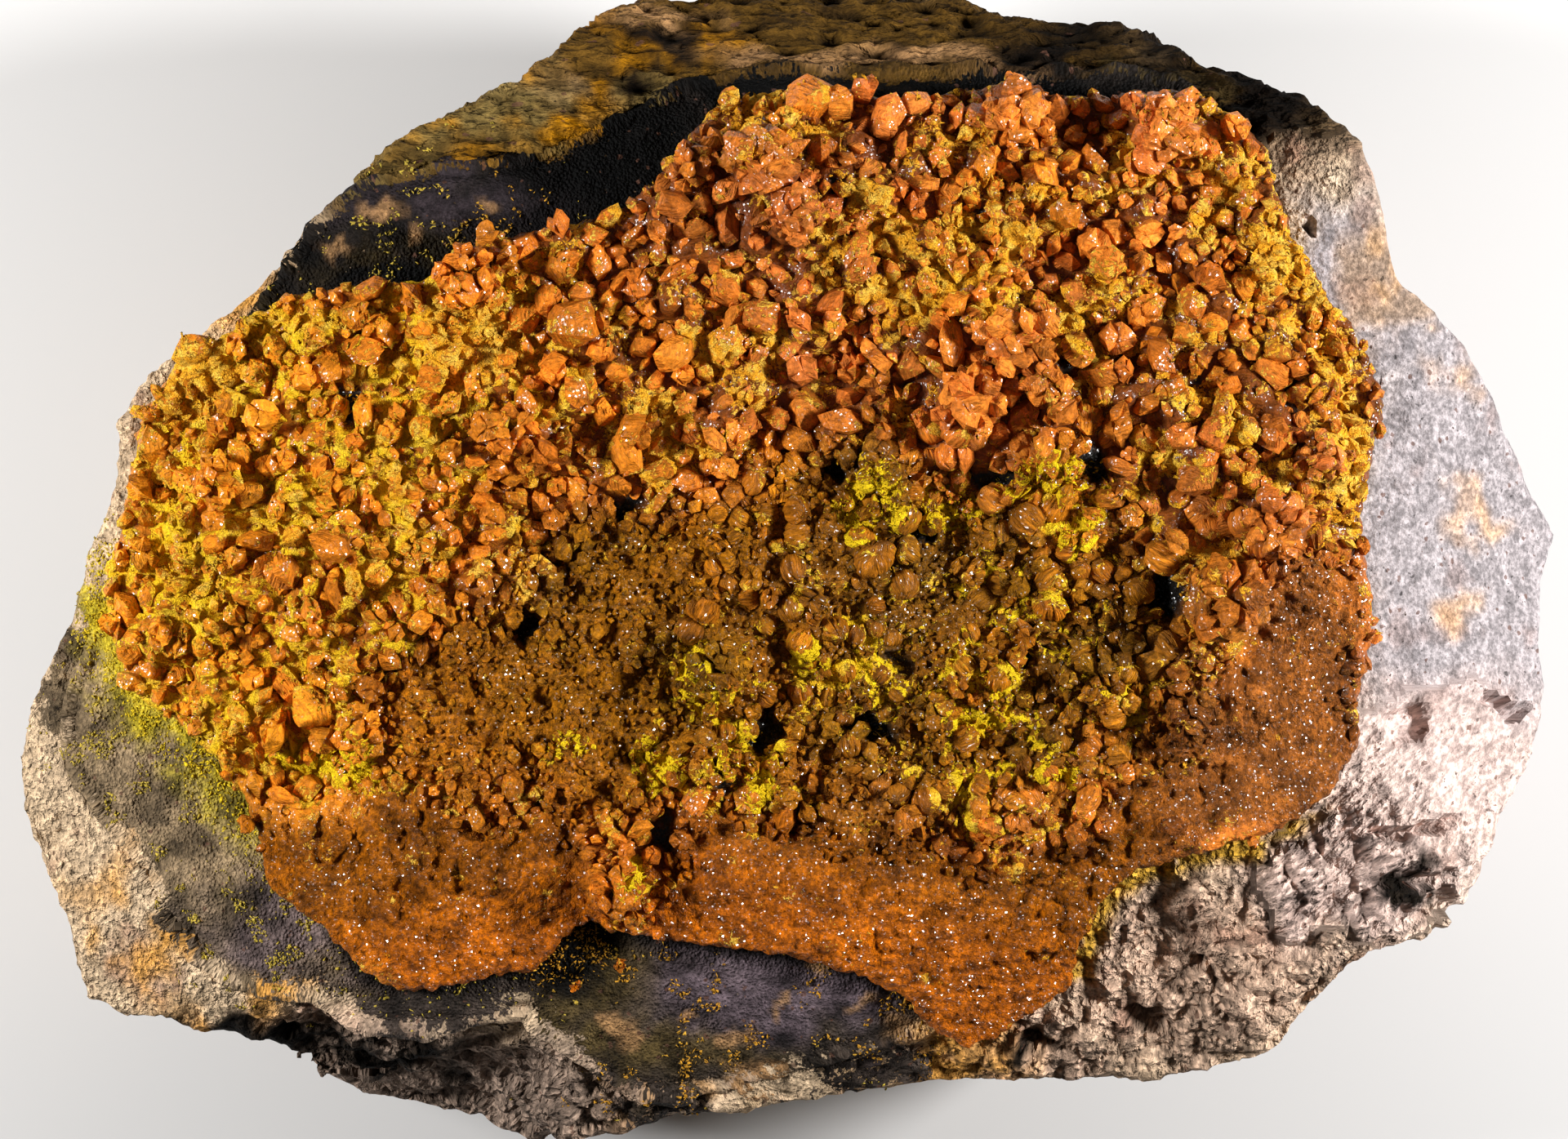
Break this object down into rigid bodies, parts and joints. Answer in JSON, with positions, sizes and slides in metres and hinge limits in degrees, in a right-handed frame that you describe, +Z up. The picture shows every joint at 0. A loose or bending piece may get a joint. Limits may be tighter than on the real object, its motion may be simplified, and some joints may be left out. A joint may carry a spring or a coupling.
{
  "type": "francevillite on matrix mineral specimen",
  "caption": "Broken hand specimen of pale sandstone with a dark oxide seam and an orange to yellow crystal crust on top.",
  "frame": {"origin": "on the flat resting face, under the middle of the specimen's bounding box", "axes": "+X along the specimen's long side, +Y towards its back ridge, +Z up out of the crystal crust"},
  "size_m": [0.1013, 0.0748, 0.038],
  "materials": {
    "sandstone": "matte",
    "dark_oxide": "satin",
    "francevillite": "satin"
  },
  "bodies": {
    "root": {"sandstone_matrix": "sandstone", "dark_seam": "dark_oxide", "francevillite_crust": "francevillite", "crust_nugget_left": "francevillite", "crust_nugget_right": "francevillite"}
  },
  "joints": []
}
